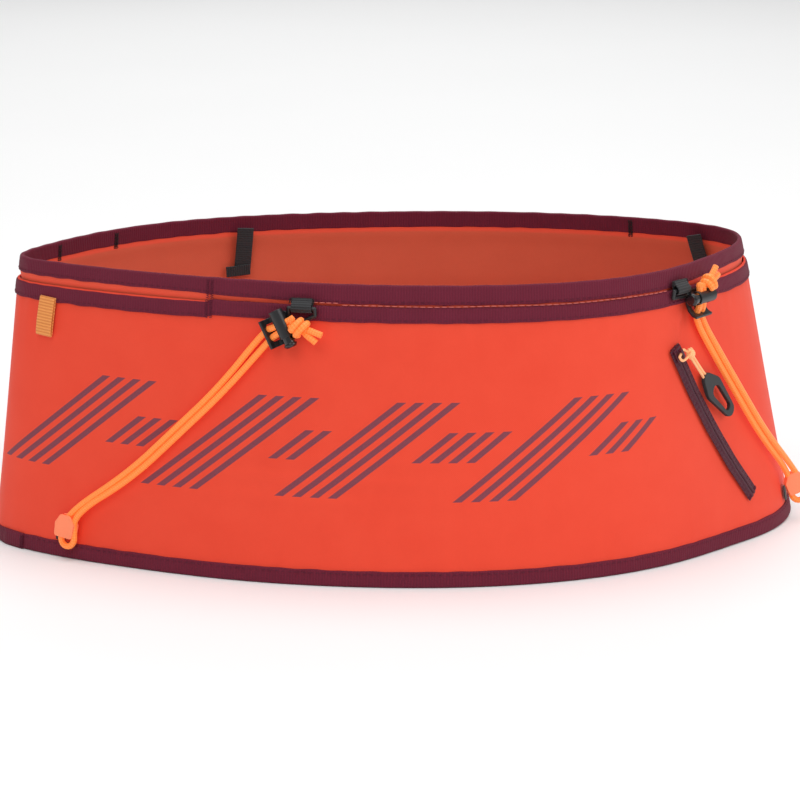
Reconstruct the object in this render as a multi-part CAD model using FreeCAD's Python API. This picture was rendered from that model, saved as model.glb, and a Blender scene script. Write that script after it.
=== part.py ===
import FreeCAD, Part
import math
import os
from FreeCAD import Matrix, Placement, Rotation, Vector

# A stretch running belt: a flared oval tube of two fabric panels, standing on its hem.
# +X runs along the long axis to the wearer's left end, -Y is the front, +Z is up.
# Everything sewn on is placed by where it lies on the wall: u goes round the belt once from
# the narrow end by way of the front, z is the height, and lift is the distance off the wall.

# The line of the wall's outer face at the rim, and how far the hem stands outside it.
rim_plan = [
    (-172, 5, 15), (-158, -14, 15), (-125, -38, 16), (-82, -62, 17), (-36, -80, 16),
    (13, -90, 14), (62, -89, 11), (101, -73, 12), (130, -45, 18), (153, -12, 25),
    (157, 20, 28), (132, 48, 24), (89, 70, 19), (41, 83, 16), (-8, 88, 15),
    (-58, 86, 15), (-101, 75, 15), (-135, 54, 15), (-160, 28, 15),
]
belt_height = 130.0

# Fabric and elastic
panel_thickness = 0.9
binding_leg = 0.5
sewing_gap = 0.05
fold_room = 0.6
hem_band = 7.0
pocket_band = 6.8
top_band = 7.2
pocket_mouth = 121.0
pocket_depth = 3.8
tight_depth = 1.2
mouth_depth = 1.8
rim_depth = 0.7

# Sewn-on pieces
tack_height = 15.0
tack_thickness = 0.5
loop_drop = 17.0
loop_width = 8.5
loop_layer = 0.8
loop_fold = 0.95
strap_width = 8.0
strap_thickness = 0.8
strap_top = 124.5
anchor_width = 5.0
anchor_height = 7.0
anchor_thickness = 0.35
anchor_lift = 0.75

# Pocket zip
zip_top_place = (0.3851, 95.0)
zip_bottom_place = (0.4447, 20.2)
zip_bow = 355.0
zip_lift = 0.1
tape_half = 3.75
tape_thickness = 0.5
tape_lift = 0.45
coil_half = 1.9
coil_depth = 1.65
zip_gap = 0.45
slot_half = 2.25
slider_length = 6.4
slider_start = -0.2
bail_height = 2.2
eye_place = 2.6
lining_depth = 2.9
lining_thickness = 0.35

# Puller
puller_heading = -48.0
bead_shift = 3.5
bead_drop = 4.1
ring_drop = 23.4
ring_thickness = 2.0
ring_lift = 1.7
bead_radius = 1.9
puller_cord_radius = 0.6

# Cord carriers
strand_radius = 1.4
strand_gap = 0.1
channel_play = 0.05
strand_middle = -0.6
strand_pitch = 2 * strand_radius + strand_gap
lip_pitch = 4.6
barrel_radius = 3.1
bore_radius = 2.55
plunger_radius = 2.5
plunger_travel = 2.8
barrel_lift = 5.7
barrel_start = -8.4
barrel_end = 4.2
shaft_start = -3.6
shaft_end = 7.2
button_radius = 2.9
spring_turns = 3.0
spring_length = 2.9
spring_radius = 1.95
spring_wire = 0.2
frame_lift = 0.95
frame_thickness = 1.2
frame_start = -7.0
frame_width = 13.0
frame_depth = 6.2
knot_radius = 3.7
tail_end = 10.5
hook_thickness = 4.4
hook_strand_lift = 3.4
tab_width = 9.0
tab_thickness = 0.7
pivot_lift = 2.7
pivot_radius = 0.9

sides = {
    "left": {
        "lock": (0.1772, 110.6), "angle": -62.5, "mirror": 1, "pivot": (0.1853, 119.6),
        "feet": ((-4.0, 2.0), (0.8, 2.6)), "knot": (0.1850, 111.9), "knot_turn": -25.0, "knot_roll": 0,
        "stations": ((0.1458, 83.0, 2.9), (0.1220, 62.0, 2.5), (0.0975, 41.0, 2.5)),
        "front_share": 0.0, "hook": (0.0615, 14.6, 0.0), "hook_turn": 6.0,
        "anchor": (0.0560, 11.5),
    },
    "right": {
        "lock": (0.4043, 115.4), "angle": 180.0, "mirror": -1, "pivot": (0.3915, 120.6),
        "feet": ((5.0, 1.4), (-1.0, 1.2)), "knot": (0.4112, 120.0), "knot_turn": 35.0, "knot_roll": 90,
        "stations": ((0.4222, 85.8, 3.6), (0.4402, 66.0, 3.6), (0.4572, 46.2, 3.8)),
        "front_share": 0.85, "hook": (0.4832, 17.0, 6.6), "hook_turn": 20.0,
        "anchor": (0.4832, 12.0),
    },
}


# ---- the wall ----

def closed_curve(points, marks):
    curve = Part.BSplineCurve()
    curve.interpolate(Points=points, PeriodicFlag=True, Parameters=marks)
    return curve


def outward(tangent):
    normal = Vector(tangent.y, -tangent.x, 0)
    return normal.normalize()


def plan_marks(points):
    steps = []
    for here, there in zip(points, points[1:] + points[:1]):
        steps.append(math.sqrt(there.sub(here).Length))
    marks = [0.0]
    for step in steps:
        marks.append(marks[-1] + step / sum(steps))
    marks[-1] = 1.0
    return marks


rim_points = [Vector(x, y, belt_height) for x, y, flare in rim_plan]
marks = plan_marks(rim_points)
rim_curve = closed_curve(rim_points, marks)


def hem_points():
    points = []
    for (x, y, flare), mark in zip(rim_plan, marks):
        normal = outward(rim_curve.tangent(mark)[0])
        points.append(Vector(x, y, 0) + normal * flare)
    return points


hem_curve = closed_curve(hem_points(), marks)


def wall_point(u, z, lift=0.0):
    share = z / belt_height
    low, low_way = hem_curve.getD1(u)
    high, high_way = rim_curve.getD1(u)
    point = low * (1 - share) + high * share
    way = low_way * (1 - share) + high_way * share
    return point + outward(way) * lift


def wall_axes(u, z):
    """Along the wall, up the wall, and out of it."""
    along = wall_point(u + 0.0005, z).sub(wall_point(u - 0.0005, z)).normalize()
    up = wall_point(u, z + 1).sub(wall_point(u, z - 1)).normalize()
    out = along.cross(up).normalize()
    return along, out.cross(along), out


def axes_matrix(origin, x_way, y_way, z_way):
    return Matrix(
        x_way.x, y_way.x, z_way.x, origin.x,
        x_way.y, y_way.y, z_way.y, origin.y,
        x_way.z, y_way.z, z_way.z, origin.z,
        0, 0, 0, 1)


def axes_placement(origin, x_way, y_way, z_way):
    return Placement(axes_matrix(origin, x_way, y_way, z_way))


def wall_place(u, z, lift=0.0, turn=0.0):
    """A frame on the wall: X along it turned by turn degrees, Z out of it."""
    along, up, out = wall_axes(u, z)
    place = axes_placement(wall_point(u, z, lift), along, up, out)
    return place * Placement(Vector(), Rotation(Vector(0, 0, 1), turn))


def placed(shape, place):
    return shape.transformed(place.toMatrix(), True)


def level_wire(z, lift):
    points = [wall_point(mark, z, lift) for mark in marks[:-1]]
    return Part.Wire(closed_curve(points, marks).toShape())


def wall_ring(levels):
    """A closed band of the wall. Each level is a height, its outer lift and its inner lift."""
    outer = Part.makeLoft([level_wire(z, far) for z, far, near in levels], True, True)
    reach = [(levels[0][0] - 1.0, levels[0][2])]
    reach += [(z, near) for z, far, near in levels]
    reach += [(levels[-1][0] + 1.0, levels[-1][2])]
    inner = Part.makeLoft([level_wire(z, near) for z, near in reach], True, True)
    return outer.cut(inner)


def straight_ring(low, high, far, near):
    return wall_ring([(low, far, near), (high, far, near)])


# ---- panels and bindings ----

def inner_panel():
    base = fold_room
    levels = [
        (base, tight_depth), (hem_band + 1.0, tight_depth), (18.0, pocket_depth),
        (98.0, pocket_depth), (114.0, mouth_depth), (120.0, mouth_depth),
        (122.6, rim_depth), (belt_height - fold_room, rim_depth),
    ]
    return wall_ring([(z, -depth, -depth - panel_thickness) for z, depth in levels])


def outer_panel():
    shell = straight_ring(fold_room, pocket_mouth - fold_room, 0.0, -panel_thickness)
    slot = zip_sector(-slot_half, slot_half, -3.0, 3.0, -1.2, zip_length + 1.2)
    return shell.cut(slot)


def top_binding():
    low = belt_height - top_band
    near = -rim_depth - panel_thickness
    band = straight_ring(low, belt_height, -rim_depth + binding_leg + sewing_gap,
                         near - binding_leg - sewing_gap)
    fold = straight_ring(low - 1, belt_height - binding_leg, -rim_depth + sewing_gap,
                         near - sewing_gap)
    return band.cut(fold)


def pocket_binding():
    low = pocket_mouth - pocket_band
    band = straight_ring(low, pocket_mouth, binding_leg + sewing_gap,
                         -panel_thickness - sewing_gap - binding_leg / 2)
    fold = straight_ring(low - 1, pocket_mouth - binding_leg, sewing_gap,
                         -panel_thickness - sewing_gap)
    return band.cut(fold)


def hem_binding():
    near = -tight_depth - panel_thickness
    band = straight_ring(0, hem_band, binding_leg + sewing_gap, near - binding_leg - sewing_gap)
    fold = straight_ring(binding_leg, hem_band + 1, sewing_gap, near - sewing_gap)
    return band.cut(fold)


def stitch_block(u, z, width, height, lift, turn=0.0):
    block = Part.makeBox(width, height, tack_thickness, Vector(-width / 2, -height / 2, 0))
    return placed(block, wall_place(u, z, lift, turn))


def front_bartacks():
    tacks = [
        stitch_block(0.1364, 122.0, 2.2, tack_height, 0.6),
        stitch_block(0.0286, 3.8, 2.4, 6.0, 0.65, 18.0),
    ]
    return Part.makeCompound(tacks)


def inner_bartacks():
    depth = -rim_depth - panel_thickness - binding_leg - sewing_gap - 0.65
    tacks = []
    for u, height in ((0.9467, 7.0), (0.8964, 7.0), (0.5940, 8.0)):
        tacks.append(stitch_block(u, belt_height - top_band / 2 - 1, 2.0, height, depth))
    return Part.makeCompound(tacks)


def side_loop_tab():
    """A doubled webbing loop hanging from under the pocket binding."""
    top = pocket_mouth - pocket_band - 0.35
    foot = loop_fold - loop_drop
    side = loop_width / 2
    outer = Part.makeBox(loop_width, -foot, 2 * loop_fold, Vector(-side, foot, 0))
    fold = Part.makeCylinder(loop_fold, loop_width, Vector(-side, foot, loop_fold), Vector(1, 0, 0))
    gap = 2 * (loop_fold - loop_layer)
    inner = Part.makeBox(loop_width + 2, 1 - foot, gap, Vector(-side - 1, foot, loop_fold - gap / 2))
    loop = outer.fuse(fold).cut(inner).removeSplitter()
    return placed(loop, wall_place(0.0385, top, 0.4, -4.0))


def inner_strap(u, length, lean, foot):
    """A short elastic strap sewn inside the wall, with its end folded to one side."""
    depth = -pocket_depth - panel_thickness - 0.4 - strap_thickness
    side = -strap_width / 2
    strap = Part.makeBox(strap_width, length, strap_thickness, Vector(side, -length, 0))
    if foot:
        toe = Part.makeBox(foot, 5.0, strap_thickness, Vector(side, -length, -strap_thickness))
        strap = strap.fuse(toe)
    return placed(strap, wall_place(u, strap_top, depth, lean))


# ---- the pocket zip: a flat curve, so each piece is a sector about one axis ----

def zip_frame():
    top = wall_point(*zip_top_place, zip_lift)
    bottom = wall_point(*zip_bottom_place, zip_lift)
    chord = bottom.sub(top)
    middle = (top + bottom) * 0.5
    u = (zip_top_place[0] + zip_bottom_place[0]) / 2
    z = (zip_top_place[1] + zip_bottom_place[1]) / 2
    out = wall_axes(u, z)[2]
    way = Vector(chord).normalize()
    out = out.sub(way * out.dot(way)).normalize()
    inside = out.cross(way)
    centre = middle + inside * math.sqrt(zip_bow ** 2 - (chord.Length / 2) ** 2)
    start = top.sub(centre).normalize()
    turn = 2 * math.asin(chord.Length / 2 / zip_bow)
    return axes_placement(centre, start, out.cross(start), out), turn * zip_bow


zip_place, zip_length = zip_frame()


def zip_sector(near, far, low, high, start, end):
    """A strip along the zip, between two distances across it, two lifts and two lengths."""
    sweep = math.degrees((end - start) / zip_bow)
    height = high - low
    base = Vector(0, 0, low)
    up = Vector(0, 0, 1)
    strip = Part.makeCylinder(zip_bow + far, height, base, up, sweep)
    strip = strip.cut(Part.makeCylinder(zip_bow + near, height + 2, base - up, up, 360))
    strip.rotate(Vector(), up, math.degrees(start / zip_bow))
    return placed(strip, zip_place)


def zip_point(across, lift, along):
    angle = along / zip_bow
    reach = zip_bow + across
    return zip_place.multVec(Vector(reach * math.cos(angle), reach * math.sin(angle), lift))


def zip_tape(side):
    near, far = sorted((side * zip_gap, side * tape_half))
    return zip_sector(near, far, tape_lift, tape_lift + tape_thickness, -0.5, zip_length + 0.5)


def zip_coil(side):
    near, far = sorted((side * zip_gap, side * coil_half))
    return zip_sector(near, far, tape_lift - coil_depth, tape_lift, 1.6, zip_length - 1.6)


def zip_stops():
    low = tape_lift - coil_depth
    top = zip_sector(-coil_half, coil_half, low, tape_lift, -0.5, 1.5)
    bottom = zip_sector(-coil_half, coil_half, low, tape_lift, zip_length - 1.5, zip_length + 0.5)
    return Part.makeCompound([top, bottom])


def zip_slider():
    """Front plate, neck through the gap between the tapes, back plate and the bail."""
    start = slider_start
    end = start + slider_length
    front = tape_lift + tape_thickness + 0.3
    front_top = front + 0.9
    back = tape_lift - coil_depth - 0.3
    plate = zip_sector(-2.7, 2.7, front, front_top, start, end)
    neck = zip_sector(-0.25, 0.25, back - 0.3, front + 0.3, start + 2.2, end - 1.5)
    rear = zip_sector(-1.9, 1.9, back - 0.6, back, start + 1.8, end)
    bail = zip_sector(-0.7, 0.7, front_top - 0.3, front_top + bail_height, start + 0.8, end - 1.6)
    eye = Part.makeCylinder(1.0, 6.0, Vector(-3, 0, 0), Vector(1, 0, 0))
    eye = placed(eye, puller_place())
    body = plate.fuse(neck).fuse(rear).fuse(bail)
    return body.cut(eye)


def zip_pocket_lining():
    patch = straight_ring(18.5, 97.0, -lining_depth, -lining_depth - lining_thickness)
    block = Part.makeBox(110, 92, 79, Vector(92, -108, 18.2))
    return patch.common(block)


# ---- the puller, which swings on the slider's bail ----

def puller_place():
    """Origin in the bail's eye, X along the swing axis, -Y down the puller, Z off the wall."""
    lift = tape_lift + tape_thickness + 0.3 + 0.9 + bail_height / 2
    eye = zip_point(0, lift, eye_place)
    out = zip_place.Rotation.multVec(Vector(0, 0, 1))
    level = Vector(0, 0, 1).cross(out).normalize()
    rise = out.cross(level)
    heading = math.radians(puller_heading)
    down = level * math.cos(heading) + rise * math.sin(heading)
    return axes_placement(eye, out.cross(down), down * -1, out)


def rod(start, end, radius):
    way = end.sub(start)
    return Part.makeCylinder(radius, way.Length, start, way)


def rod_chain(points, radius):
    """Straight rods end to end with a ball at each corner."""
    body = rod(points[0], points[1], radius)
    for start, end in zip(points[1:-1], points[2:]):
        body = body.fuse([Part.makeSphere(radius, start), rod(start, end, radius)])
    return body


def rounded_bar(radius_a, radius_b, reach, thickness):
    """A flat plate round two centres: the origin and a point at -reach on Y."""
    slope = math.asin((radius_a - radius_b) / reach)
    points = []
    for centre, radius in ((0, radius_a), (-reach, radius_b)):
        points.append(Vector(radius * math.cos(slope), centre - radius * math.sin(slope), 0))
    left = [Vector(-p.x, p.y, 0) for p in points]
    top = Part.Arc(points[0], Vector(0, radius_a, 0), left[0])
    base = Part.Arc(left[1], Vector(0, -reach - radius_b, 0), points[1])
    edges = [top, Part.LineSegment(left[0], left[1]), base, Part.LineSegment(points[1], points[0])]
    wire = Part.Wire([edge.toShape() for edge in edges])
    return Part.Face(wire).extrude(Vector(0, 0, thickness))


def ring_outline(thickness):
    """The moulded ring's outline: narrow neck, broad shoulder, tapering to a round end."""
    neck = rounded_bar(3.2, 6.0, 6.5, thickness)
    body = rounded_bar(6.0, 3.6, 14.5, thickness)
    body.translate(Vector(0, -6.5, 0))
    return neck.fuse(body).removeSplitter()


def puller_strands(radius):
    """The thin cord: through the bail, two strands to the bead, then two to the ring."""
    low = -bail_ring_drop()
    half = 2.1
    near = 0.75
    bead = Vector(bead_shift, -bead_drop, 0.9)
    loop = rod_chain([bead, Vector(-half, -3.0, 0), Vector(-half, 0, 0), Vector(half, 0, 0),
                      Vector(half + 0.3, -1.2, 0), bead], radius)
    pieces = [Part.makeSphere(bead_radius, bead)]
    foot = -ring_drop + 0.6
    for x in (bead_shift - near, bead_shift + near):
        pieces.append(rod_chain([Vector(x, bead.y, bead.z), Vector(x, foot + 4, low),
                                 Vector(x, foot, low)], radius))
    pieces.append(rod_chain([Vector(bead_shift - near, foot, low), Vector(bead_shift, foot, low),
                             Vector(bead_shift + near, foot, low)], radius))
    return loop.fuse(pieces)


def bail_ring_drop():
    """How far the ring's middle plane lies below the bail's eye."""
    eye = tape_lift + tape_thickness + 0.3 + 0.9 + bail_height / 2
    return eye - ring_lift - ring_thickness / 2


def puller_cord():
    return placed(puller_strands(puller_cord_radius), puller_place())


def puller_ring():
    low = -bail_ring_drop() - ring_thickness / 2
    plate = ring_outline(ring_thickness)
    hole = rounded_bar(2.9, 2.0, 10.5, ring_thickness + 2)
    hole.translate(Vector(0, -8.5, -1))
    plate = plate.cut(hole)
    plate.translate(Vector(bead_shift, -ring_drop, low))
    return placed(plate.cut(puller_strands(puller_cord_radius + channel_play)), puller_place())


# ---- cord carriers ----

def lock_ways(side):
    """The lock's long way, towards the button, and the way its strands run to the knot."""
    data = sides[side]
    along, up, out = wall_axes(*data["lock"])
    angle = math.radians(data["angle"])
    x_way = along * math.cos(angle) + up * math.sin(angle)
    return x_way, out.cross(x_way), out


def lock_matrix(side):
    """Turns the left lock's coordinates into the belt's; the right lock is its mirror image."""
    x_way, y_way, out = lock_ways(side)
    return axes_matrix(wall_point(*sides[side]["lock"]), x_way, y_way * sides[side]["mirror"], out)


def lock_shape(shape, side):
    """Puts a shape drawn for the left lock on either side."""
    if sides[side]["mirror"] < 0:
        shape = shape.mirror(Vector(), Vector(0, 1, 0))
    return placed(shape, axes_placement(wall_point(*sides[side]["lock"]), *lock_ways(side)))


def strand_window(length, half, height):
    """The slot through the barrel that both strands share, along the lock's Y."""
    width = 2 * half
    return Part.makeBox(width, length, height,
                        Vector(strand_middle - half, -length / 2, barrel_lift - height / 2))


def lock_barrel(side):
    length = barrel_end - barrel_start
    axis = Vector(1, 0, 0)
    start = Vector(barrel_start, 0, barrel_lift)
    body = Part.makeCylinder(barrel_radius, length, start, axis)
    bore = Part.makeCylinder(bore_radius, length, start + axis * 1.2, axis)
    window = strand_window(10.0, 2.95, 3.2)
    return lock_shape(body.cut(bore).cut(window), side)


def lock_plunger(side):
    axis = Vector(1, 0, 0)
    shaft = Part.makeCylinder(plunger_radius, shaft_end - shaft_start,
                              Vector(shaft_start, 0, barrel_lift), axis)
    slot = Part.makeBox(10.0, 6.0, 3.1, Vector(-4.8, -3.0, barrel_lift - 1.55))
    end = Vector(shaft_end, 0, barrel_lift)
    head = Part.makeCylinder(button_radius, 0.8, end, axis)
    dome = Part.makeCone(button_radius, button_radius - 0.8, 0.8, end + axis * 0.8, axis)
    return lock_shape(shaft.cut(slot).fuse([head, dome]), side)


def lock_spring(side):
    """A short compression spring between the bore's end and the plunger's prongs."""
    helix = Part.makeLongHelix(spring_length / spring_turns, spring_length, spring_radius)
    start = Vector(spring_radius, 0, 0)
    profile = Part.Wire(Part.makeCircle(spring_wire, start, Vector(0, 1, 0)))
    coil = Part.Wire(helix).makePipeShell([profile], True, True)
    coil.rotate(Vector(), Vector(0, 1, 0), 90)
    coil.translate(Vector(-6.9, 0, barrel_lift))
    return placed(coil, axes_placement(wall_point(*sides[side]["lock"]), *lock_ways(side)))


def lock_frame(side):
    """Base under the barrel, its curled lip with two windows, and the loop for the tab."""
    low = frame_lift
    start = frame_start
    base = Part.makeBox(frame_width, frame_depth, frame_thickness, Vector(start, -2.5, low))
    back_corners = [e for e in base.Edges if is_upright(e) and e.BoundBox.YMin > 3]
    base = base.makeFillet(1.8, back_corners)
    curl = [(-2.5, low), (-5.4, low + 0.8), (-7.9, low + 2.8), (-9.0, low + 5.0),
            (-7.9, low + 5.4), (-6.9, low + 3.6), (-4.9, low + 2.0), (-2.5, low + frame_thickness)]
    outline = [Vector(start, y, z) for y, z in curl]
    curled = Part.Face(Part.makePolygon(outline + outline[:1])).extrude(Vector(frame_width, 0, 0))
    for offset in (-1, 1):
        middle = strand_middle + offset * lip_pitch / 2
        window = Part.makeBox(3.4, 3.4, 8.0, Vector(middle - 1.7, -6.8, 0))
        curled = curled.cut(window)
    rest = Part.makeBox(10.0, 2.6, 2.0, Vector(-6.6, -1.3, low + 0.6))
    rest = rest.cut(Part.makeCylinder(barrel_radius, 20, Vector(-10, 0, barrel_lift),
                                      Vector(1, 0, 0)))
    body = lock_shape(base.fuse([curled, rest]), side)
    body = body.fuse(tab_loop(side))
    return biggest(body.cut(carrier_tube(side, strand_radius + channel_play)))


def is_upright(edge):
    way = edge.Vertexes[0].Point.sub(edge.Vertexes[-1].Point)
    return abs(way.x) < 0.01 and abs(way.y) < 0.01


def pivot_frame(side):
    """The tab's fold, which the frame's bar hangs in: X along the bar, Z off the wall."""
    return wall_place(*sides[side]["pivot"], pivot_lift)


def tab_loop(side):
    """The frame's bar in the webbing fold, and the two arms that carry it to the plate."""
    pivot = pivot_frame(side)
    lock = lock_matrix(side)
    half = tab_width / 2 + 1.3
    bend = Vector(0, -3.0, -0.7)
    ends = [Vector(-half, 0, 0) + bend, Vector(-half, 0, 0), Vector(half, 0, 0),
            Vector(half, 0, 0) + bend]
    feet = [lock.multVec(Vector(x, y, 1.7)) for x, y in sides[side]["feet"]]
    return rod_chain(feet[:1] + [pivot.multVec(end) for end in ends] + feet[1:], pivot_radius)


def lock_tab(side):
    """Black webbing: both legs lie on the bindings and the fold holds the frame's bar."""
    inner = pivot_radius + 0.35
    outer = inner + tab_thickness
    axis = Vector(1, 0, 0)
    base = Vector(-tab_width / 2, 0, 0)
    fold = Part.makeCylinder(outer, tab_width, base, axis)
    fold = fold.cut(Part.makeCylinder(inner, tab_width, base, axis))
    fold = fold.cut(Part.makeBox(tab_width, 4.0, 8.0, Vector(-tab_width / 2, 0, -4.0)))
    leg = 4.2
    profile = [(0, -outer), (leg, -outer), (leg, -outer + 2 * tab_thickness), (0, outer),
               (0, inner), (leg - 1.2, -inner), (0, -inner)]
    outline = [Vector(-tab_width / 2, y, z) for y, z in profile]
    legs = Part.Face(Part.makePolygon(outline + outline[:1])).extrude(Vector(tab_width, 0, 0))
    return placed(fold.fuse(legs).removeSplitter(), pivot_frame(side))


def smooth_path(points):
    """Straight runs joined by tangent arcs, each as large as its two runs allow."""
    edges = []
    start = points[0]
    for before, corner, after in zip(points, points[1:], points[2:]):
        back = before.sub(corner)
        on = after.sub(corner)
        cut = 0.45 * min(back.Length, on.Length)
        back.normalize()
        on.normalize()
        enter = corner + back * cut
        leave = corner + on * cut
        half = back.getAngle(on) / 2
        radius = cut * math.tan(half)
        bisector = (back + on).normalize()
        middle = corner + bisector * (radius / math.sin(half) - radius)
        edges.append(Part.LineSegment(start, enter).toShape())
        edges.append(Part.Arc(enter, middle, leave).toShape())
        start = leave
    edges.append(Part.LineSegment(start, points[-1]).toShape())
    return Part.Wire(edges)


def pair_way(side):
    """The direction that the pair of strands and the hook face, off the wall."""
    data = sides[side]
    share = data["front_share"]
    wall_out = wall_axes(data["stations"][1][0], 60.0)[2]
    return (wall_out * (1 - share) + Vector(-0.1, -1, 0) * share).normalize()


def strand_route(side, offset):
    """One strand from the knot through the lock and down to the hook; offset is -1 or 1."""
    data = sides[side]
    flip = data["mirror"]
    lock = lock_matrix(side)
    near = strand_middle + offset * strand_pitch / 2
    wide = strand_middle + offset * lip_pitch / 2
    points = [
        lock.multVec(Vector(near, 4.6, barrel_lift)),
        lock.multVec(Vector(near, -3.8, barrel_lift)),
        lock.multVec(Vector(wide, -8.6, 2.0)),
    ]
    hook = hook_place(side)
    stations = [wall_point(u, z, lift) for u, z, lift in data["stations"]]
    top = hook.multVec(Vector(0, 6.0, hook_strand_lift))
    out = pair_way(side)
    for here, after in zip(stations, stations[1:] + [top]):
        across = after.sub(here).cross(out).normalize()
        points.append(here - across * (offset * flip * strand_pitch / 2))
    for x, y in ((strand_pitch / 2, 6.5), (3.4, -4.0), (3.4, -6.2), (1.7, -8.6)):
        points.append(hook.multVec(Vector(offset * flip * x, y, hook_strand_lift)))
    return points


def hook_place(side):
    """The hook's frame: Z off the wall, Y up along the strands."""
    data = sides[side]
    u, z, lift = data["hook"]
    out = wall_axes(u, z)[2] if data["front_share"] == 0 else pair_way(side)
    along = Vector(0, 0, 1).cross(out).normalize()
    origin = wall_point(u, z, lift)
    if data["front_share"] > 0:
        origin = origin - out * hook_strand_lift
    place = axes_placement(origin, along, out.cross(along), out)
    return place * Placement(Vector(), Rotation(Vector(0, 0, 1), -data["hook_turn"] * data["mirror"]))


def carrier_path(side):
    near = strand_route(side, -1)
    far = strand_route(side, 1)
    return smooth_path(near + far[::-1])


def carrier_tube(side, radius):
    path = carrier_path(side)
    start = path.Edges[0]
    way = start.tangentAt(start.FirstParameter)
    profile = Part.Wire(Part.makeCircle(radius, start.valueAt(start.FirstParameter), way))
    return path.makePipeShell([profile], True, False)


def carrier_cord(side):
    path = carrier_path(side)
    tube = carrier_tube(side, strand_radius)
    radii = [edge.Curve.Radius for edge in path.Edges if hasattr(edge.Curve, "Radius")]
    print(side, "cord bend radii", [round(radius, 1) for radius in radii])
    share = tube.Volume / (math.pi * strand_radius ** 2 * path.Length)
    print(side, "cord", round(path.Length, 1), "mm, volume share", round(share, 4))
    return tube


def cord_knot(side):
    """The overhand knot beyond the lock, with the strands' two tails."""
    data = sides[side]
    place = wall_place(*data["knot"], barrel_lift + 0.3, data["knot_turn"])
    near = Vector(-1.8, 0, 0)
    far = Vector(1.6, 0, 0)
    turns = rod(near, far, knot_radius).fuse([Part.makeSphere(knot_radius, near),
                                              Part.makeSphere(knot_radius, far)])
    turns.rotate(Vector(), Vector(1, 0, 0), data["knot_roll"])
    tails = []
    for y in (-1.6, 1.6):
        tails.append(rod(Vector(3.0, y * 0.8, 0), Vector(tail_end, y, 0.4), strand_radius))
    knot = placed(turns.fuse(tails), place)
    lock = lock_shape(Part.makeCylinder(barrel_radius + 0.1, 30, Vector(-15, 0, barrel_lift),
                                        Vector(1, 0, 0)), side)
    return biggest(knot.cut(lock))


def biggest(shape):
    return max(shape.Solids, key=lambda solid: solid.Volume)


def cord_hook(side):
    """A moulded plate, five-sided with round corners, that grips both strands."""
    outline = [Vector(-5.0, 1.5, 0), Vector(-2.6, 5.6, 0), Vector(2.6, 5.6, 0), Vector(5.0, 1.5, 0),
               Vector(4.6, -4.6, 0), Vector(-4.6, -4.6, 0)]
    wire = Part.makePolygon(outline + outline[:1])
    low = hook_strand_lift - hook_thickness / 2
    plate = Part.Face(wire).extrude(Vector(0, 0, hook_thickness))
    plate = plate.makeFillet(1.2, [e for e in plate.Edges if is_upright(e)])
    plate.translate(Vector(0, 0, low))
    plate = placed(plate, hook_place(side))
    return biggest(plate.cut(carrier_tube(side, strand_radius + channel_play)))


def hem_anchor(side):
    """A webbing patch on the panel that the hook is clipped to."""
    corner = Vector(-anchor_width / 2, -anchor_height / 2, 0)
    patch = Part.makeBox(anchor_width, anchor_height, anchor_thickness, corner)
    return placed(patch, wall_place(*sides[side]["anchor"], anchor_lift))


# ---- everything, one file a node ----

def build():
    nodes = {
        "inner_panel": inner_panel(),
        "outer_panel": outer_panel(),
        "top_binding": top_binding(),
        "pocket_binding": pocket_binding(),
        "hem_binding": hem_binding(),
        "front_bartacks": front_bartacks(),
        "inner_bartacks": inner_bartacks(),
        "side_loop_tab": side_loop_tab(),
        "inner_strap_left": inner_strap(0.8114, 23.0, 4.0, 12.0),
        "inner_strap_right": inner_strap(0.5527, 20.0, -14.0, 0),
        "zip_tape_front": zip_tape(1),
        "zip_tape_rear": zip_tape(-1),
        "zip_coil_front": zip_coil(1),
        "zip_coil_rear": zip_coil(-1),
        "zip_stops": zip_stops(),
        "zip_slider": zip_slider(),
        "zip_pocket_lining": zip_pocket_lining(),
        "puller_cord": puller_cord(),
        "puller_ring": puller_ring(),
    }
    for side in sides:
        nodes["lock_tab_" + side] = lock_tab(side)
        nodes["lock_frame_" + side] = lock_frame(side)
        nodes["lock_barrel_" + side] = lock_barrel(side)
        nodes["lock_plunger_" + side] = lock_plunger(side)
        nodes["lock_spring_" + side] = lock_spring(side)
        nodes["carrier_cord_" + side] = carrier_cord(side)
        nodes["cord_knot_" + side] = cord_knot(side)
        nodes["cord_hook_" + side] = cord_hook(side)
        nodes["hem_anchor_" + side] = hem_anchor(side)
    return nodes


if __name__ == "__main__":
    os.makedirs("parts", exist_ok=True)
    for name, shape in build().items():
        shape.exportStep("parts/" + name + ".step")
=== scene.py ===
import bmesh
import bpy
import math
import numpy as np
from mathutils import Matrix, Vector


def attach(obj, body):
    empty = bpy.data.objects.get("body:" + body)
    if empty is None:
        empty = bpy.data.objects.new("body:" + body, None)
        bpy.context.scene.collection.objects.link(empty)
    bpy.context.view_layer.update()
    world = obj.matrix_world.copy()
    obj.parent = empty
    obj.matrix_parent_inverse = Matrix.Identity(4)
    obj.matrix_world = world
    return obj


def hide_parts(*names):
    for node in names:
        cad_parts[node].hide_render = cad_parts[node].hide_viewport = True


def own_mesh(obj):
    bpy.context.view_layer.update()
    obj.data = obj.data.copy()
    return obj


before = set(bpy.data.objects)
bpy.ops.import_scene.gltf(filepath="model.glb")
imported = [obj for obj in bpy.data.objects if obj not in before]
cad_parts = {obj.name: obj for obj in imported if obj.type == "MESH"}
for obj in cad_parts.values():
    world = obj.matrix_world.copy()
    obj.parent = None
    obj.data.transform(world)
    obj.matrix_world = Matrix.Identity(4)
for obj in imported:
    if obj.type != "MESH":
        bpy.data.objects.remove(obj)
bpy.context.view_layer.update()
print("frame loaded,", len(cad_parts), "nodes")

# Lengths here are in mm, as in the model, and become metres where a mesh is made.
mm = 0.001

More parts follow.
